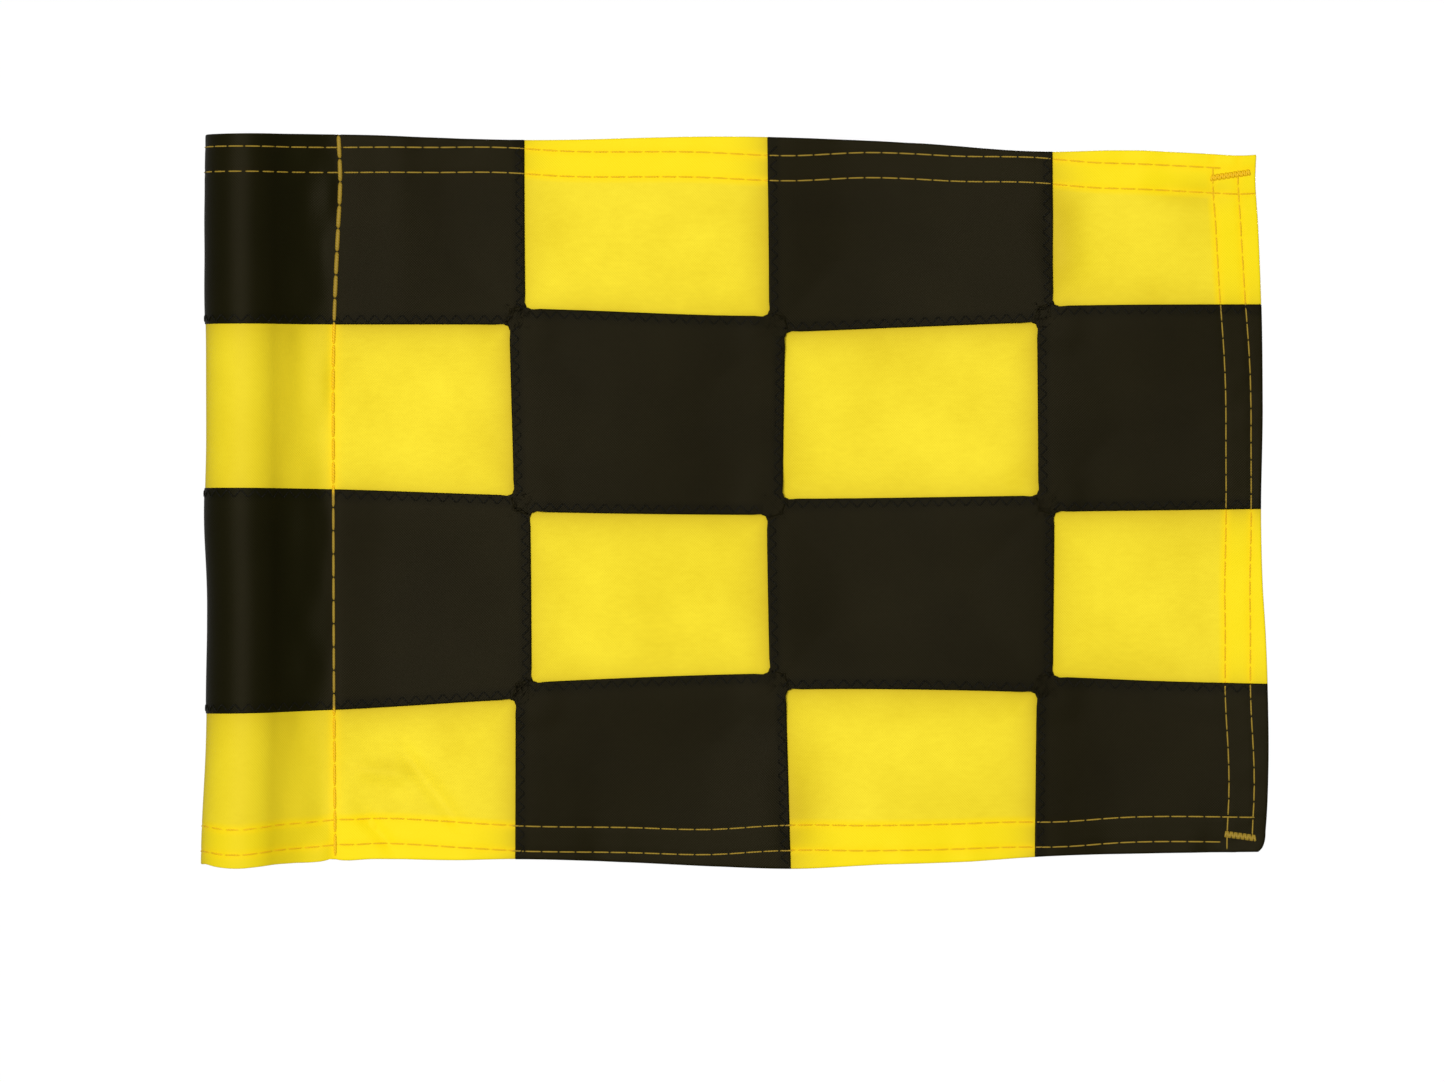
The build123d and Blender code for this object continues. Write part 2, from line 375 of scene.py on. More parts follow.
def edge_gaps(u, v):
    """Distances in from the top, bottom and fly edges."""
    return row_line(0, u) - v, v - row_line(4, u), column_line(4, v) - u


def near_rows(u, v, reach):
    """How near a point is to the rows across the hems, to those up the fly and to the sleeve's, 0 to 1."""
    top, bottom, fly = edge_gaps(u, v)
    hems = ((top, TOP_ROW), (bottom, BOTTOM_ROW))
    away = [gap - row for gap, points in hems for row in hem_rows(points, u)]
    across = np.exp(-np.min(np.square(away), axis=0) / reach ** 2)
    away = [fly - row for row in hem_rows(FLY_ROW, v)]
    upright = np.exp(-np.min(np.square(away), axis=0) / reach ** 2)
    return across, upright, np.exp(-(((u - STITCH_U) / (1.4 * reach)) ** 2))


def row_press(u, v):
    """How strongly the hem and sleeve stitches pull the cloth in at a point, 0 to 1, most at each hole."""
    across, upright, sleeve = near_rows(u, v, 0.55)
    across = across * (0.7 + 0.3 * np.cos(2 * math.pi * (u - STITCH_U) / HEM_STITCH))
    upright = upright * (0.7 + 0.3 * np.cos(2 * math.pi * v / HEM_STITCH))
    return np.maximum(np.maximum(across, upright), sleeve)


def inside_black(row, column, u, v):
    """How far a point is inside the folded edges of one black check; negative outside it."""
    gaps = [np.full_like(u, 99.0)]
    lap_u, lap_v = column_lap("lap", row, u, v), row_lap("lap", column, u, v)
    if row > 1:
        gaps.append(row_line(row - 1, u) + lap_v - v)
    if row < 4:
        gaps.append(v - row_line(row, u) + lap_v)
    if column > 1:
        gaps.append(u - column_line(column - 1, v) + lap_u)
    if column < 4:
        gaps.append(column_line(column, v) + lap_u - u)
    return np.min(gaps, axis=0)


BLACK_CHECKS = [(row, column) for row in range(1, 5) for column in range(1, 5) if is_black(row, column)]
CORNER_LAYERS = 1.1


def depth_in_black(u, v):
    return np.max([inside_black(row, column, u, v) for row, column in BLACK_CHECKS], axis=0)


def black_height(u, v):
    """Front height of the black laps at any point of the pattern, in layers."""
    marks, heights = np.array(((0.0, 2.0),) + LAP_HEIGHT).T
    top = np.zeros_like(u)
    for row, column in BLACK_CHECKS:
        inside = inside_black(row, column, u, v)
        height = np.interp(inside, marks, heights)
        if row % 2 == 0:
            height = height + CORNER_LAYERS * corner_lift(row, column, u, v)
        top = np.maximum(top, np.where(inside > -0.01, height, 0))
    return top


def front_face(u, v):
    return black_height(u, v) * layer_height(u) + CLOTH / 2 - PRESS * row_press(u, v)


def back_face(u, v):
    """Depth of the outermost layer behind the flag (negative n)."""
    top, bottom, fly = edge_gaps(u, v)
    across = (np.minimum(top / hem_stretch(TOP_ROW, u), bottom / hem_stretch(BOTTOM_ROW, u)) < HEM_DEPTH)
    upright = fly / hem_stretch(FLY_ROW, v) < HEM_DEPTH
    behind = 2.0 * across + 2.0 * upright
    lap = np.where(across ^ upright, black_height(u, v), 0)
    return -(behind + lap) * layer_height(u) - CLOTH / 2 + PRESS * row_press(u, v)


def lap_shade(row, column, u, v):
    """Painted shade: how much darker a yellow check is near the laps over it, most by the top and the right
    ones.
    """
    sides = []
    if row > 1:
        sides.append((1.0, row_line(row - 1, u) - v))
    if row < 4:
        sides.append((0.6, v - row_line(row, u)))
    if column > 1:
        sides.append((0.6, u - column_line(column - 1, v)))
    if column < 4:
        sides.append((1.0, column_line(column, v) - u))
    return np.max([strength * np.exp(-np.maximum(gap - LAP, 0) / 3.2) for strength, gap in sides], axis=0)


def tones(row, column, u, v):
    """Four shares for a check's colour: where a hem doubles the cloth, painted shade along the laps and in
    patches, the sleeve's cloth with painted shade on it, and along the rows of stitches, where it is partly
    painted shade."""
    top, bottom, fly = edge_gaps(u, v)
    depth = np.minimum(np.minimum(top / hem_stretch(TOP_ROW, u), bottom / hem_stretch(BOTTOM_ROW, u)),
                       fly / hem_stretch(FLY_ROW, v))
    hem = smooth((HEM_DEPTH + 0.4 - depth) / 0.8)
    # The seam share is painted shade: a dark strip just inside a black check's folded edges, and on a
    # yellow check the shade along the laps; both also take the darker patches.
    if is_black(row, column):
        seam = smooth((2.3 - depth_in_black(u, v)) / 0.8)
    else:
        seam = lap_shade(row, column, u, v)
    for at_u, at_v, reach_u, reach_v, strength in PAINTED_SHADE_PATCHES:
        seam = seam + strength * np.exp(-(((u - at_u) / reach_u) ** 2) - ((v - at_v) / reach_v) ** 2)
    # The sleeve share is the doubled cloth over the tube plus painted shade, darkest about 8.5 mm from the
    # row, on the side of the tube turned away from the light.
    from_row = STITCH_U - u
    sleeve = smooth(from_row / 1.5) * (0.75 + 0.25 * np.exp(-(((from_row - 8.5) / 5.5) ** 2)))
    # The share along the rows of stitches is partly the thread's colour and partly painted shade.
    stitch_band_and_shade = np.max(near_rows(u, v, 0.8), axis=0)
    return np.stack((hem, np.minimum(seam, 1), sleeve, stitch_band_and_shade), -1)


# ---------------------------------------------------------------- meshes
def make_object(name, vertices, faces, uvs, shades, normals=None):
    """Mesh object from vertices in millimetres; uvs, shades and normals are one for each vertex."""
    mesh = bpy.data.meshes.new(name)
    mesh.from_pydata((np.asarray(vertices) * MM).tolist(), [], faces)
    mesh.validate()
    mesh.shade_smooth()
    layer = mesh.uv_layers.new(name="pattern")
    corners = np.empty(len(mesh.loops), np.int32)
    mesh.loops.foreach_get("vertex_index", corners)
    layer.data.foreach_set("uv", np.asarray(uvs, np.float32)[corners].ravel())
    shade = mesh.color_attributes.new(name="tones", type="FLOAT_COLOR", domain="POINT")
    shade.data.foreach_set("color", np.asarray(shades, np.float32).ravel())
    if normals is not None:
        mesh.normals_split_custom_set_from_vertices(normals.tolist())
    piece = bpy.data.objects.new(name, mesh)
    bpy.context.scene.collection.objects.link(piece)
    return piece


def grid_normals(points):
    """Unit normals of a grid of points, out of the front of the cloth."""
    along_u = np.gradient(points, axis=1)
    along_v = np.gradient(points, axis=0)
    normals = np.cross(along_u, along_v)
    return normals / np.maximum(np.linalg.norm(normals, axis=-1, keepdims=True), 1e-9)


BACK_SHADES = np.array((1, 0.3, 1, 1))   # what the back of the cloth takes of each share in tones()


def cloth_object(name, points, uv, normals, shades):
    """Closed sheet of cloth about a grid of points at its middle."""
    rows, columns = points.shape[:2]
    half = normals * CLOTH / 2
    vertices = np.concatenate(((points + half).reshape(-1, 3), (points - half).reshape(-1, 3)))
    count = rows * columns
    index = np.arange(count).reshape(rows, columns)
    quads = np.stack((index[:-1, :-1], index[:-1, 1:], index[1:, 1:], index[1:, :-1]), -1).reshape(-1, 4)
    rim = np.concatenate((index[0, :], index[1:, -1], index[-1, -2::-1], index[-2:0:-1, 0]))
    after = np.roll(rim, -1)
    rims = np.stack((rim + count, after + count, after, rim), -1)
    faces = np.concatenate((quads, quads[:, ::-1] + count, rims))
    uvs = np.tile(uv.reshape(-1, 2), (2, 1))
    front_normals, front_shades = normals.reshape(-1, 3), shades.reshape(-1, 4)
    both_normals = np.concatenate((front_normals, -front_normals))
    both_shades = np.concatenate((front_shades, front_shades * BACK_SHADES))
    return make_object(name, vertices, faces.tolist(), uvs, both_shades, both_normals)


# ---------------------------------------------------------------- materials
def material(name, slot_colour, roughness):
    made = bpy.data.materials.new(name)
    made.use_nodes = True
    shader = made.node_tree.nodes["Principled BSDF"]
    shader.inputs["Base Color"].default_value = (*slot_colour, 1)
    shader.inputs["Roughness"].default_value = roughness
    return made, made.node_tree.nodes, made.node_tree.links, shader


def math_node(nodes, links, operation, a, b=None):
    node = nodes.new("ShaderNodeMath")
    node.operation = operation
    for socket, value in zip(node.inputs, (a, b)):
        if value is None:
            continue
        if isinstance(value, (int, float)):
            socket.default_value = value
        else:
            links.new(value, socket)
    return node.outputs[0]


def mix_colours(nodes, links, factor, a, b):
    """Mixes two colours, each given as a socket or as red, green and blue."""
    mix = nodes.new("ShaderNodeMix")
    mix.data_type = "RGBA"
    links.new(factor, mix.inputs["Factor"])
    for socket, value in (("A", a), ("B", b)):
        if isinstance(value, tuple):
            mix.inputs[socket].default_value = (*value, 1)
        else:
            links.new(value, mix.inputs[socket])
    return mix.outputs["Result"]


def tone_shares(nodes, links):
    """The four shares that the meshes carry in their "tones" attribute."""
    tones_at = nodes.new("ShaderNodeAttribute")
    tones_at.attribute_name = "tones"
    parts = nodes.new("ShaderNodeSeparateColor")
    links.new(tones_at.outputs["Color"], parts.inputs[0])
    return [*parts.outputs, tones_at.outputs["Alpha"]]


def woven_material(name, dark, light, doubled, shaded, sleeve_cloth_and_shade, stitch_band_and_shade, specular, roughness):
    """Plain-woven nylon: crossing yarns as bump, soft blotches of colour, and other colours where a hem
    doubles the cloth, for painted shade along the laps, for the cloth over the tube with painted shade, and
    along the rows of stitches, partly painted shade."""
    made, nodes, links, shader = material(name, light, roughness)
    shader.inputs["Specular IOR Level"].default_value = specular
    shader.inputs["Specular Tint"].default_value = (1.0, 0.86, 0.6, 1)
    where = nodes.new("ShaderNodeUVMap")
    where.uv_map = "pattern"
    split = nodes.new("ShaderNodeSeparateXYZ")
    links.new(where.outputs["UV"], split.inputs[0])
    turn = 2 * math.pi / YARN_PAIR
    warp = math_node(nodes, links, "SINE", math_node(nodes, links, "MULTIPLY", split.outputs[0], turn))
    weft = math_node(nodes, links, "SINE", math_node(nodes, links, "MULTIPLY", split.outputs[1], turn))
    weave = math_node(nodes, links, "MULTIPLY", warp, weft)

    slub = nodes.new("ShaderNodeTexNoise")
    slub.inputs["Scale"].default_value = 0.5
    slub.inputs["Detail"].default_value = 3
    stretch = nodes.new("ShaderNodeMapping")
    stretch.inputs["Scale"].default_value = (1.0, 2.2, 1.0)
    links.new(where.outputs["UV"], stretch.inputs["Vector"])
    links.new(stretch.outputs[0], slub.inputs["Vector"])
    blotch = nodes.new("ShaderNodeTexNoise")
    blotch.inputs["Scale"].default_value = 0.07
    blotch.inputs["Detail"].default_value = 3
    links.new(where.outputs["UV"], blotch.inputs["Vector"])

    tone = math_node(nodes, links, "MULTIPLY", weave, 0.14)
    for texture, strength in ((slub, 0.35), (blotch, 0.95)):
        part = math_node(nodes, links, "MULTIPLY", texture.outputs[0], strength)
        tone = math_node(nodes, links, "ADD", tone, part)
    ramp = nodes.new("ShaderNodeMapRange")
    ramp.inputs["From Min"].default_value = 0.35
    ramp.inputs["From Max"].default_value = 0.95
    links.new(tone, ramp.inputs["Value"])
    colour = mix_colours(nodes, links, ramp.outputs[0], dark, light)
    tints = ((doubled, 0.8), (shaded, 0.7), (sleeve_cloth_and_shade, 0.6), (stitch_band_and_shade, 0.5))
    for share, (tint, strength) in zip(tone_shares(nodes, links), tints):
        factor = math_node(nodes, links, "MULTIPLY", share, strength)
        colour = mix_colours(nodes, links, factor, colour, tint)
    links.new(colour, shader.inputs["Base Color"])

    slub_height = math_node(nodes, links, "MULTIPLY", slub.outputs[0], 0.5)
    height = math_node(nodes, links, "ADD", weave, slub_height)
    bump = nodes.new("ShaderNodeBump")
    bump.inputs["Strength"].default_value = 0.35
    bump.inputs["Distance"].default_value = 0.00005
    links.new(height, bump.inputs["Height"])
    links.new(bump.outputs[0], shader.inputs["Normal"])
    return made


def thread_material(name, dark, light, shaded_on_black, specular):
    """Twisted thread: a slanting groove round each stitch, with painted shade where it lies on black cloth.
    The stitch's UV is (mm along it, share round it)."""
    made, nodes, links, shader = material(name, light, 0.45)
    shader.inputs["Specular IOR Level"].default_value = specular
    where = nodes.new("ShaderNodeUVMap")
    where.uv_map = "pattern"
    split = nodes.new("ShaderNodeSeparateXYZ")
    links.new(where.outputs["UV"], split.inputs[0])
    along = math_node(nodes, links, "MULTIPLY", split.outputs[0], 2 * math.pi / 0.55)
    around = math_node(nodes, links, "MULTIPLY", split.outputs[1], 4 * math.pi)
    ply = math_node(nodes, links, "SINE", math_node(nodes, links, "ADD", along, around))
    ramp = nodes.new("ShaderNodeMapRange")
    ramp.inputs["From Min"].default_value = -1.0
    links.new(ply, ramp.inputs["Value"])
    colour = mix_colours(nodes, links, ramp.outputs[0], dark, light)
    # Painted shade: the thread is mixed toward a darker colour where it lies on black cloth.
    on_black = math_node(nodes, links, "MULTIPLY", tone_shares(nodes, links)[0], 0.85)
    links.new(mix_colours(nodes, links, on_black, colour, shaded_on_black), shader.inputs["Base Color"])
    bump = nodes.new("ShaderNodeBump")
    bump.inputs["Strength"].default_value = 0.6
    bump.inputs["Distance"].default_value = 0.00005
    links.new(ply, bump.inputs["Height"])
    links.new(bump.outputs[0], shader.inputs["Normal"])
    return made


def tube_material():
    """Extruded plastic with faint drawing lines along it."""
    made, nodes, links, shader = material("tube_plastic", (0.78, 0.78, 0.75), 0.35)
    where = nodes.new("ShaderNodeTexCoord")
    stretch = nodes.new("ShaderNodeMapping")
    stretch.inputs["Scale"].default_value = (900, 900, 12)
    links.new(where.outputs["Object"], stretch.inputs["Vector"])
    lines = nodes.new("ShaderNodeTexNoise")
    lines.inputs["Scale"].default_value = 1.0
    links.new(stretch.outputs[0], lines.inputs["Vector"])
    colour = mix_colours(nodes, links, lines.outputs[0], (0.62, 0.62, 0.60), (0.84, 0.84, 0.81))
    links.new(colour, shader.inputs["Base Color"])
    bump = nodes.new("ShaderNodeBump")
    bump.inputs["Strength"].default_value = 0.25
    bump.inputs["Distance"].default_value = 0.00005
    links.new(lines.outputs[0], bump.inputs["Height"])
    links.new(bump.outputs[0], shader.inputs["Normal"])
    return made


MATERIALS = {
    # In each cloth, the colour along the laps is painted shade, the colour over the tube is the sleeve's
    # cloth with painted shade, and the colour along the rows of stitches is partly painted shade.
    "yellow_nylon": woven_material("yellow_nylon", dark=(0.76, 0.59, 0.014), light=(0.90, 0.73, 0.026),
                                   doubled=(0.90, 0.70, 0.001), shaded=(0.52, 0.36, 0.012),
                                   sleeve_cloth_and_shade=(0.66, 0.51, 0.012), stitch_band_and_shade=(0.93, 0.64, 0.0),
                                   specular=0.12, roughness=0.52),
    "black_nylon": woven_material("black_nylon", dark=(0.0056, 0.0046, 0.0011),
                                  light=(0.0084, 0.0069, 0.0018), doubled=(0.0080, 0.0066, 0.0014),
                                  shaded=(0.0034, 0.0031, 0.0008), sleeve_cloth_and_shade=(0.0062, 0.0062, 0.0008),
                                  stitch_band_and_shade=(0.0075, 0.0062, 0.0014), specular=0.055, roughness=0.44),
    # Each thread's third colour is painted shade, for where it lies on black cloth.
    "gold_thread": thread_material("gold_thread", dark=(0.72, 0.40, 0.003), light=(0.95, 0.59, 0.005),
                                   shaded_on_black=(0.24, 0.165, 0.024), specular=0.2),
    "black_thread": thread_material("black_thread", dark=(0.0030, 0.0027, 0.0012),
                                    light=(0.0065, 0.0058, 0.0024), shaded_on_black=(0.0045, 0.0040, 0.0016),
                                    specular=0.1),
    "tube_plastic": tube_material(),
}


def finish_piece(piece, slot, zone, *nodes):
    """Material and hidden CAD nodes; slot names the material; zone, the piece's seam hinge, is not used."""
    piece.data.materials.append(MATERIALS[slot])
    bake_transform(piece)
    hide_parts(*nodes)


# The flag is cut halfway between its hinges, so each zone holds one hinge.
ZONE_CUTS = [(SEAM_HINGES[k] + SEAM_HINGES[k + 1]) / 2 for k in (0, 1)]


# ---------------------------------------------------------------- checks
FLAG_HEIGHT = 138
ROW_PITCH = 34.5
COLUMN_PITCH = 50.0
# About how much cloth a row and each column take up, which sets how many stations they have. There is no
# column 0.
ROW_SPAN = 37
COLUMN_SPANS = (0, 37 + SLEEVE_LENGTH, 51, 53, 43)
STEP = 1.0                       # from one station to the next in the middle of a check
SLEEVE_STEP = 0.7                # the same along column 1, which has to be round in the sleeve


def trim_corners(row, column, u, v):
    """Cuts the corners off a yellow check's allowances, so that they stay under the black laps."""
    sides_u = [(side, column_line(k, v)) for side, k in ((-1, column - 1), (1, column)) if 0 < k < 4]
    sides_v = [(side, row_line(k, u)) for side, k in ((1, row - 1), (-1, row)) if 0 < k < 4]
    for side_u, line_u in sides_u:
        for side_v, line_v in sides_v:
            past_u = np.maximum(side_u * (u - line_u), 0)
            past_v = np.maximum(side_v * (v - line_v), 0)
            cut = 1 - 1 / (1 + TRIM * np.minimum(past_u, past_v))
            u = u - side_u * past_u * cut
            v = v - side_v * past_v * cut
    return u, v


def check_grid(row, column):
    """Pattern points of one check with its laps, hems and sleeve: u, v, n grids."""
    black = is_black(row, column)
    top, bottom = side_kind(black, row == 1), side_kind(black, row == 4)
    left, right = side_kind(black, False), side_kind(black, column == 4)
    rows = with_middle(side_stations(bottom), mirrored(side_stations(top)), ROW_SPAN, STEP)
    low_u = side_stations(left) if column > 1 else [(0, 0, 0, 1, 0, 0)]
    step = STEP if column > 1 else SLEEVE_STEP
    columns = with_middle(low_u, mirrored(side_stations(right)), COLUMN_SPANS[column], step)
    v_share, v_offset, v_fold, v_side, v_lap, v_hem = (a[:, None] for a in rows)
    u_share, u_offset, u_fold, u_side, u_lap, u_hem = (a[None, :] for a in columns)
    hem_points = TOP_ROW if row == 1 else BOTTOM_ROW

    # The seams curve, so u and v depend on each other: they settle from the middle of the check.
    v = np.full((rows.shape[1], columns.shape[1]), FLAG_HEIGHT - ROW_PITCH * (row - 0.5))
    u = np.full_like(v, COLUMN_PITCH * (column - 0.5))
    for _ in range(5):
        lap_u = column_lap("lap", row, u, v)
        start = STITCH_U - SLEEVE_LENGTH
        if column > 1:
            start = column_line(column - 1, v) - (lap_u if left == "lap" else 0)
        stop = column_line(column, v) + (lap_u if right == "lap" else 0)
        u_stretch = 1 + u_hem * (hem_stretch(FLY_ROW, v) - 1)
        u = start * (1 - u_share) + stop * u_share + u_offset * u_stretch
        lap_v = row_lap("lap", column, u, v)
        low = row_line(row, u) - (lap_v if bottom == "lap" else 0)
        high = row_line(row - 1, u) + (lap_v if top == "lap" else 0)
        v_stretch = 1 + v_hem * (hem_stretch(hem_points, u) - 1)
        v = low * (1 - v_share) + high * v_share + v_offset * v_stretch
    if not black:
        u, v = trim_corners(row, column, u, v)
    lap = np.maximum(u_lap, v_lap) + 0 * u
    if row % 2 == 0:
        lap = lap + (CORNER_LAYERS if black else -CORNER_LAYERS) * corner_lift(row, column, u, v)
    turned = u_side * v_side
    n = (turned * lap - u_fold - v_fold) * layer_height(u)
    outermost = np.where((u_fold + v_fold) > 0.5, 1.0, -1.0)
    n = n + outermost * PRESS * row_press(u, v)
    return u, v, n


def half_pieces(column):
    """Which zones a column's cloth is cut between, as (zone, from u, to u)."""
    spans = {1: ((1, None, None),), 2: ((1, None, ZONE_CUTS[0]), (2, ZONE_CUTS[0], None)),
             3: ((2, None, ZONE_CUTS[1]), (3, ZONE_CUTS[1], None)), 4: ((3, None, None),)}
    return spans[column]


def build_check(row, column):
    colour = "black" if is_black(row, column) else "yellow"
    node = f"{colour}_check_row{row}_col{column}"
    u, v, n = check_grid(row, column)
    points = surface(u, v, n)
    normals = grid_normals(points)
    uv = np.stack((u, v), -1)
    shades = tones(row, column, u, v)
    middle = u[u.shape[0] // 2]
    for zone, start, stop in half_pieces(column):
        first = 0 if start is None else int(np.abs(middle - start).argmin())
        last = len(middle) - 1 if stop is None else int(np.abs(middle - stop).argmin())
        part = np.s_[:, first:last + 1]
        name = f"{colour}_cloth_row{row}_col{column}" + ("" if start is stop is None else f"_zone{zone}")
        piece = cloth_object(name, points[part], uv[part], normals[part], shades[part])
        finish_piece(piece, f"{colour}_nylon", zone, node)
        width = np.abs(np.diff(u[part][u.shape[0] // 2])).sum() * MM
        length = np.abs(np.diff(v[part][:, (last - first) // 2])).sum() * MM


# ---------------------------------------------------------------- stitches
# Rings along one stitch: (share of its length, width in radii, lift off the cloth in radii).
RINGS = ((0.0, 0.45, -1.3), (0.06, 0.8, -0.3), (0.18, 1.0, 0.35), (0.5, 1.05, 0.5),
         (0.82, 1.0, 0.35), (0.94, 0.8, -0.3), (1.0, 0.45, -1.3))
SIDES = 8
HEM_THREAD = 0.13                # radius of the hem stitches
ZIGZAG_THREAD = 0.12
COVER = 1.0                      # the share of its pitch that a stitch spans
SLEEVE_COVER = 1.05
ROWS_FROM = STITCH_U - (SLEEVE_LENGTH - 5.5)     # the hidden end of the rows that run round the sleeve
HEM_ROW_ENDS = (185.5, 191.5)    # where the outer and the inner row of the top and bottom hems stop
PAST_FLAP = FLAP_U + 0.3         # from here on the rows also show on the back
HALFWAY = 68                     # halfway up the flag
NEAR_TOP = 135.0
ROUND_CORNER = 6                 # below this the fly edge is rounded, and its rows run straight down
OPEN_END = 0.8                   # from the flag's edge to the end of a zigzag
TACK_PITCH = 0.42
TACK_REACH = (0.12, 0.68)        # half of a bar tack's stitch: its slant and its length
TACK_THREAD = 0.24
BAR_TACKS = (("top", (184.5, 129.6), (192.0, 130.7)), ("bottom", (187.3, 4.2), (193.2, 3.4)))


def stitch_mesh(starts, ends, radius, face, outward):
    """Vertices, faces, UVs and shades of stitches on face(u, v): outward is 1 in front and -1 behind."""
    starts, ends = np.asarray(starts, float), np.asarray(ends, float)
    radius = np.broadcast_to(np.asarray(radius, float), len(starts))
    d = ends - starts
    length = np.linalg.norm(d, axis=1)
    across = np.column_stack((-d[:, 1], d[:, 0])) / length[:, None]
    around = np.arange(SIDES) * 2 * math.pi / SIDES
    rings, uvs, shaded_on_black = [], [], []
    for share, wide, lift in RINGS:
        centre = starts + d * share
        height = face(centre[:, 0], centre[:, 1]) + outward * radius * lift
        r = radius * wide
        u = centre[:, :1] + across[:, :1] * (r[:, None] * np.cos(around))
        v = centre[:, 1:] + across[:, 1:] * (r[:, None] * np.cos(around))
        rings.append(surface(u, v, height[:, None] + 0.85 * r[:, None] * np.sin(around)))
        uvs.append(np.stack((np.repeat((share * length)[:, None], SIDES, 1),
                             np.tile(around / (2 * math.pi), (len(starts), 1))), -1))
        # Painted shade mask for the thread: 1 where the stitch lies on black cloth.
        shaded_on_black.append(np.repeat((depth_in_black(u, v) > 0)[..., None], 4, -1))
    vertices = np.stack(rings, 1)
    count = len(starts)
    index = np.arange(count * len(RINGS) * SIDES).reshape(count, len(RINGS), SIDES)
    after = np.roll(index, -1, axis=2)
    quads = np.stack((index[:, :-1], after[:, :-1], after[:, 1:], index[:, 1:]), -1).reshape(-1, 4)
    faces = quads.tolist()
    for cap in (index[:, 0, ::-1], index[:, -1]):
        faces += cap.tolist()
    uvs, shaded_on_black = np.stack(uvs, 1).reshape(-1, 2), np.stack(shaded_on_black, 1).reshape(-1, 4)
    return vertices.reshape(-1, 3), faces, uvs, shaded_on_black


def stitches_object(name, parts):
    vertices, faces, uvs, shades = zip(*parts)
    bases = np.cumsum([0] + [len(v) for v in vertices])
    joined = [[k + base for k in face] for base, part in zip(bases, faces) for face in part]
    return make_object(name, np.concatenate(vertices), joined, np.concatenate(uvs), np.concatenate(shades))


def behind_stitches(starts, ends, radius):
    return stitch_mesh(starts, ends, radius, back_face, -1)


def both_faces(starts, ends, radius):
    return [stitch_mesh(starts, ends, radius, front_face, 1), behind_stitches(starts, ends, radius)]


def zone_of(u):
    return 1 + int(u > ZONE_CUTS[0]) + int(u > ZONE_CUTS[1])


def hem_stitches(edge, inward, zone):
    """Both rows along the top or bottom hem within one zone, and round the sleeve."""
    points = TOP_ROW if edge == 0 else BOTTOM_ROW
    parts = []
    for k, fly_end in enumerate(HEM_ROW_ENDS):
        us = np.arange(ROWS_FROM, fly_end, HEM_STITCH)
        us = us[[zone_of(u) == zone for u in us]]
        both = [np.column_stack((u, row_line(edge, u) + inward * hem_rows(points, u)[k]))
                for u in (us, us + COVER * HEM_STITCH)]
        parts.append(stitch_mesh(*both, HEM_THREAD, front_face, 1))
        flat = us > PAST_FLAP
        if flat.any():
            parts.append(behind_stitches(both[0][flat], both[1][flat], HEM_THREAD))
    return parts


def upright_stitches(line, pitch, cover, radius, behind, low=0.4, high=0.2):
    """A row up the flag at u = line(v); behind makes the same row on the back."""
    start = float(row_line(4, line(0.0))) + low
    stop = float(row_line(0, line(NEAR_TOP))) - high
    count = round((stop - start) / pitch)
    pitch = (stop - start) / count
    vs = start + pitch * np.arange(count)
    starts = np.column_stack((line(vs), vs))
    ends = np.column_stack((line(vs + cover * pitch), vs + cover * pitch))
    return [stitch_mesh(starts, ends, radius(vs), front_face, 1), behind(starts, ends, radius(vs))]


def zigzag(points, normal):
    """Legs of a zigzag along a folded edge; normal points from the edge into the black check."""
    points, normal = np.asarray(points), np.asarray(normal)
    reach = np.where(np.arange(len(points)) % 2 == 0, *ZIGZAG_REACH)
    corners = points + normal * reach[:, None]
    return corners[:-1], corners[1:]


def row_seam_zigzag(seam, zone):
    """Zigzag along the laps of one row seam within one zone, and round the sleeve."""
    parts = []
    for column in range(1, 5):
        start = ROWS_FROM
        if column > 1:
            start = float(column_line(column - 1, HALFWAY)) + LAP
        stop = float(column_line(column, HALFWAY)) - LAP
        into = 1 if is_black(seam, column) else -1
        us = np.arange(start, stop, ZIGZAG_STITCH)
        edge = row_line(seam, us) - into * LAP
        starts, ends = zigzag(np.column_stack((us, edge)), np.tile((0, into), (len(us), 1)))
        here = np.array([zone_of(u) == zone for u in starts[:, 0]])
        behind = here & (starts[:, 0] > PAST_FLAP)
        if here.any():
            parts.append(stitch_mesh(starts[here], ends[here], ZIGZAG_THREAD, front_face, 1))
            parts.append(behind_stitches(starts[behind], ends[behind], ZIGZAG_THREAD))
    return parts


def column_seam_zigzag(seam):
    """Zigzags up the laps of one upright seam, one for each row of checks."""
    parts = []
    for row in range(1, 5):
        into = -1 if is_black(row, seam) else 1
        seam_u = column_line(seam, HALFWAY)
        low = float(row_line(row, seam_u)) + (OPEN_END if row == 4 else LAP)
        high = float(row_line(row - 1, seam_u)) - (OPEN_END if row == 1 else LAP)
        vs = np.arange(low, high, ZIGZAG_STITCH)
        edge = column_line(seam, vs) - into * LAP
        legs = zigzag(np.column_stack((edge, vs)), np.tile((into, 0), (len(vs), 1)))
        parts += both_faces(*legs, ZIGZAG_THREAD)
    return parts


def bar_tack(start, end):
    """Close-set stitches across a short bar from start to end."""
    start, end = np.array(start, float), np.array(end, float)
    count = round(np.linalg.norm(end - start) / TACK_PITCH)
    shares = (np.arange(count) + 0.5) / count
    centres = start + (end - start) * shares[:, None]
    half = np.tile(TACK_REACH, (count, 1))
    half[1::2, 0] *= -1
    return both_faces(centres - half, centres + half, TACK_THREAD)


def sleeve_row_radius(v):
    """The sleeve's row is sewn with thread that stands out most in the top row of checks."""
    return 0.25 + 0.04 * smooth((v - 62) / 8) + 0.12 * smooth((v - 98) / 8)


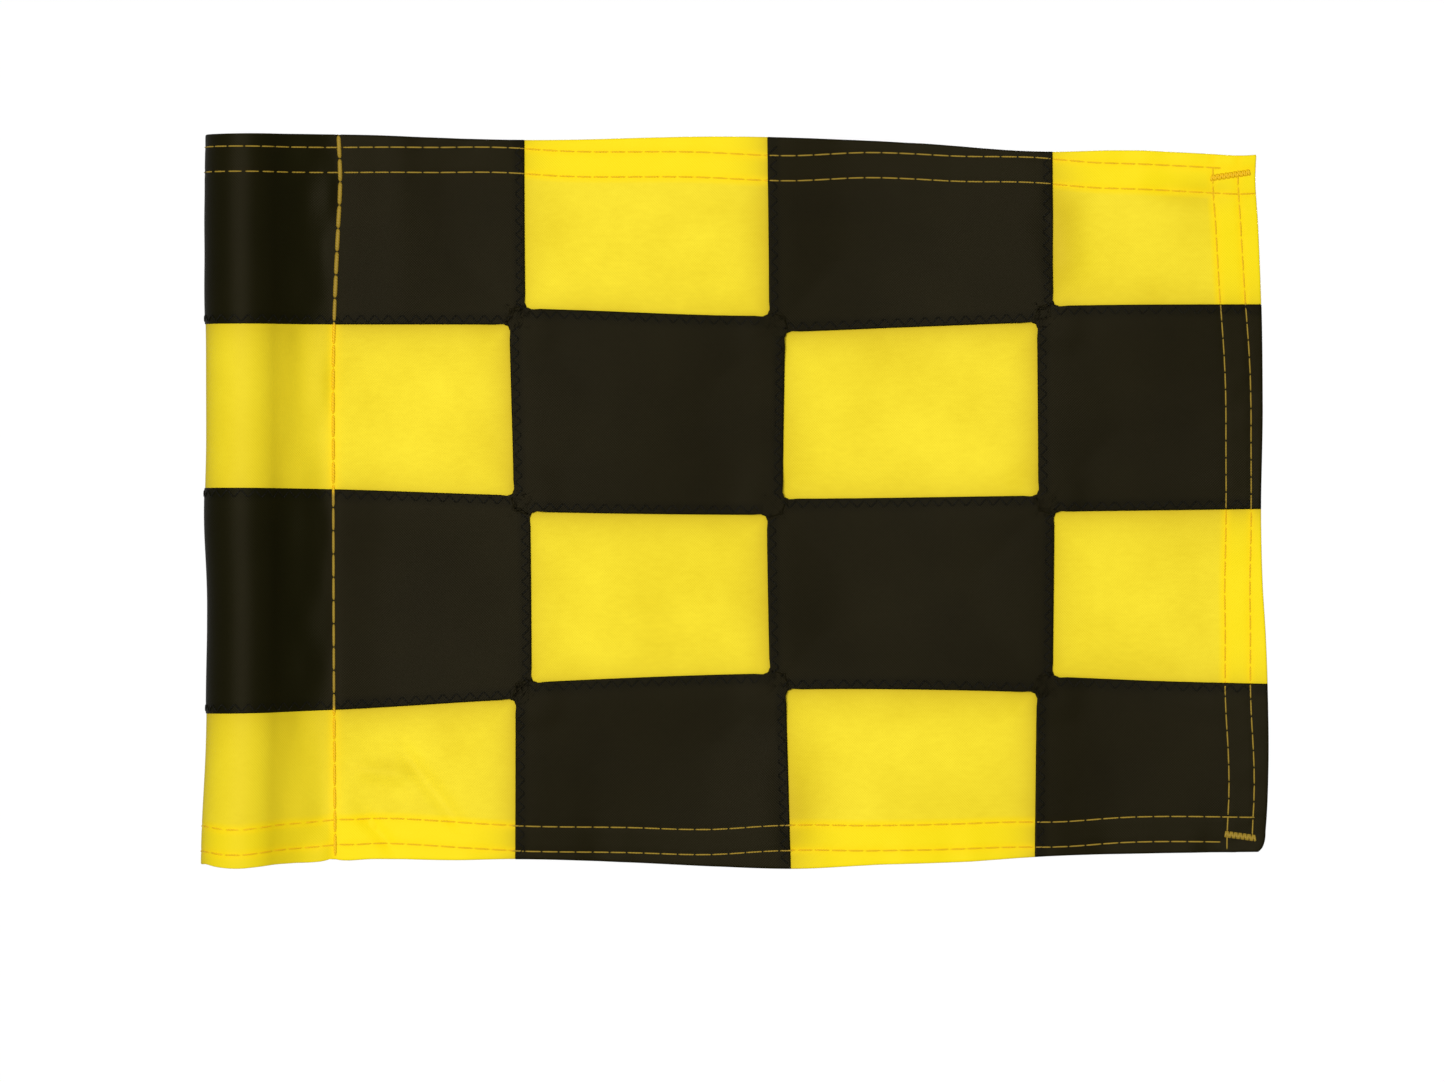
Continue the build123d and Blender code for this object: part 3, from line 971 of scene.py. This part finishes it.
def flap_stitches(starts, ends, radius):
    """The same row where it comes out on the sleeve's back layer."""
    to_back = SLEEVE_LENGTH - (FLAP_U - STITCH_U) - math.pi * LAYER / 2 - FLAP_TURN
    shift = np.array((-to_back, 0))
    return stitch_mesh(starts + shift, ends + shift, radius, front_face, 1)


def build_stitches():
    for zone in (1, 2, 3):
        near = (zone, zone + 1)
        for hem, edge, inward in (("top", 0, -1), ("bottom", 4, 1)):
            piece = stitches_object(f"{hem}_hem_stitches_zone{zone}", hem_stitches(edge, inward, zone))
            finish_piece(piece, "gold_thread", zone, *[f"{hem}_hem_thread_col{c}" for c in near])
        for seam in (1, 2, 3):
            piece = stitches_object(f"row_seam{seam}_zigzag_zone{zone}", row_seam_zigzag(seam, zone))
            finish_piece(piece, "black_thread", zone, *[f"row_seam{seam}_thread_col{c}" for c in near])
        piece = stitches_object(f"column_seam{zone}_zigzag", column_seam_zigzag(zone))
        finish_piece(piece, "black_thread", zone, f"column_seam{zone}_thread")
    parts = upright_stitches(lambda v: STITCH_U + 0 * v, SLEEVE_STITCH, SLEEVE_COVER, sleeve_row_radius,
                             flap_stitches)
    finish_piece(stitches_object("sleeve_stitches", parts), "gold_thread", 1, "sleeve_thread")
    parts = []
    for k, low in ((0, 3.0), (1, 0.4)):
        def line(v, k=k):
            return column_line(4, np.maximum(v, ROUND_CORNER)) - hem_rows(FLY_ROW, v)[k]

        parts += upright_stitches(line, HEM_STITCH, COVER, lambda v: HEM_THREAD + 0 * v, behind_stitches,
                                  low, 2.5)
    finish_piece(stitches_object("fly_hem_stitches", parts), "gold_thread", 3, "fly_hem_thread")
    for name, start, end in BAR_TACKS:
        piece = stitches_object(f"bar_tack_{name}_stitches", bar_tack(start, end))
        finish_piece(piece, "gold_thread", 3, f"bar_tack_{name}")


for check_row in range(1, 5):
    for check_column in range(1, 5):
        build_check(check_row, check_column)
build_stitches()
tube = frame["nodes"]["tube_insert"]
tube.data.materials.clear()
tube.data.materials.append(MATERIALS["tube_plastic"])


# ---------------------------------------------------------------- stage, light and camera
def plain_material(name, colour, roughness, glow):
    made, _, _, shader = material(name, colour, roughness)
    shader.inputs["Emission Color"].default_value = (1, 1, 1, 1)
    shader.inputs["Emission Strength"].default_value = glow
    return made


centre = [(a + b) / 2 for a, b in zip(cad_low, cad_high)]


def disc(name, radius, z, segments=96):
    turns = np.arange(segments) * 2 * math.pi / segments
    points = np.column_stack((radius * np.cos(turns), radius * np.sin(turns), np.zeros(segments)))
    mesh = bpy.data.meshes.new(name)
    mesh.from_pydata(points.tolist(), [], [list(range(segments))])
    made = bpy.data.objects.new(name, mesh)
    made.location = (centre[0], centre[1], z)
    bpy.context.scene.collection.objects.link(made)
    return made


floor = disc("floor", 3.5, cad_low[2] - 1.6)
floor.data.materials.append(plain_material("floor_white", (0.9, 0.9, 0.9), 0.9, 0.8))
bpy.ops.mesh.primitive_uv_sphere_add(segments=64, ring_count=32, radius=4.0, location=centre)
backdrop = bpy.context.object
backdrop.name = "backdrop"
backdrop.data.materials.append(plain_material("backdrop_white", (0, 0, 0), 1.0, 1.0))
for screen in (floor, backdrop):
    # White behind and below the flag, without throwing light on it: the lamps and the world do that.
    screen.visible_diffuse = False
    screen.visible_glossy = False
    screen.visible_shadow = False
    screen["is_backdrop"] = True

world = bpy.data.worlds.new("studio")
world.use_nodes = True
world.node_tree.nodes["Background"].inputs[0].default_value = (1, 1, 1, 1)
world.node_tree.nodes["Background"].inputs[1].default_value = 0.4
bpy.context.scene.world = world


def area_light(name, place, size, power):
    data = bpy.data.lights.new(name, "AREA")
    data.shape = "DISK"
    data.size = size
    data.energy = power
    made = bpy.data.objects.new(name, data)
    made.location = place
    made.rotation_euler = (Vector(centre) - Vector(place)).to_track_quat("-Z", "Y").to_euler()
    made.visible_camera = False
    bpy.context.scene.collection.objects.link(made)


area_light("key", (centre[0] - 0.42, -1.8, centre[2] + 0.16), 0.85, 27.5)
area_light("back_fill", (centre[0] + 0.4, 1.6, centre[2] + 0.5), 0.9, 22)

CAMERA_DISTANCE = 2.0
CAMERA_SHIFT = (-0.0021, -0.0077)    # along and up, from opposite the centre
VIEW_WIDTH = 0.2763                  # the width of the picture at the flag
camera_data = bpy.data.cameras.new("camera")
camera_data.sensor_width = 36
camera_data.lens = 36 * CAMERA_DISTANCE / VIEW_WIDTH
camera_data.clip_start = 0.01
camera = bpy.data.objects.new("camera", camera_data)
camera.location = (centre[0] + CAMERA_SHIFT[0], -CAMERA_DISTANCE, centre[2] + CAMERA_SHIFT[1])
camera.rotation_euler = (math.pi / 2, 0, 0)
bpy.context.scene.collection.objects.link(camera)
bpy.context.scene.camera = camera
bpy.context.scene.view_settings.view_transform = "Standard"
bpy.context.scene.view_settings.look = "None"
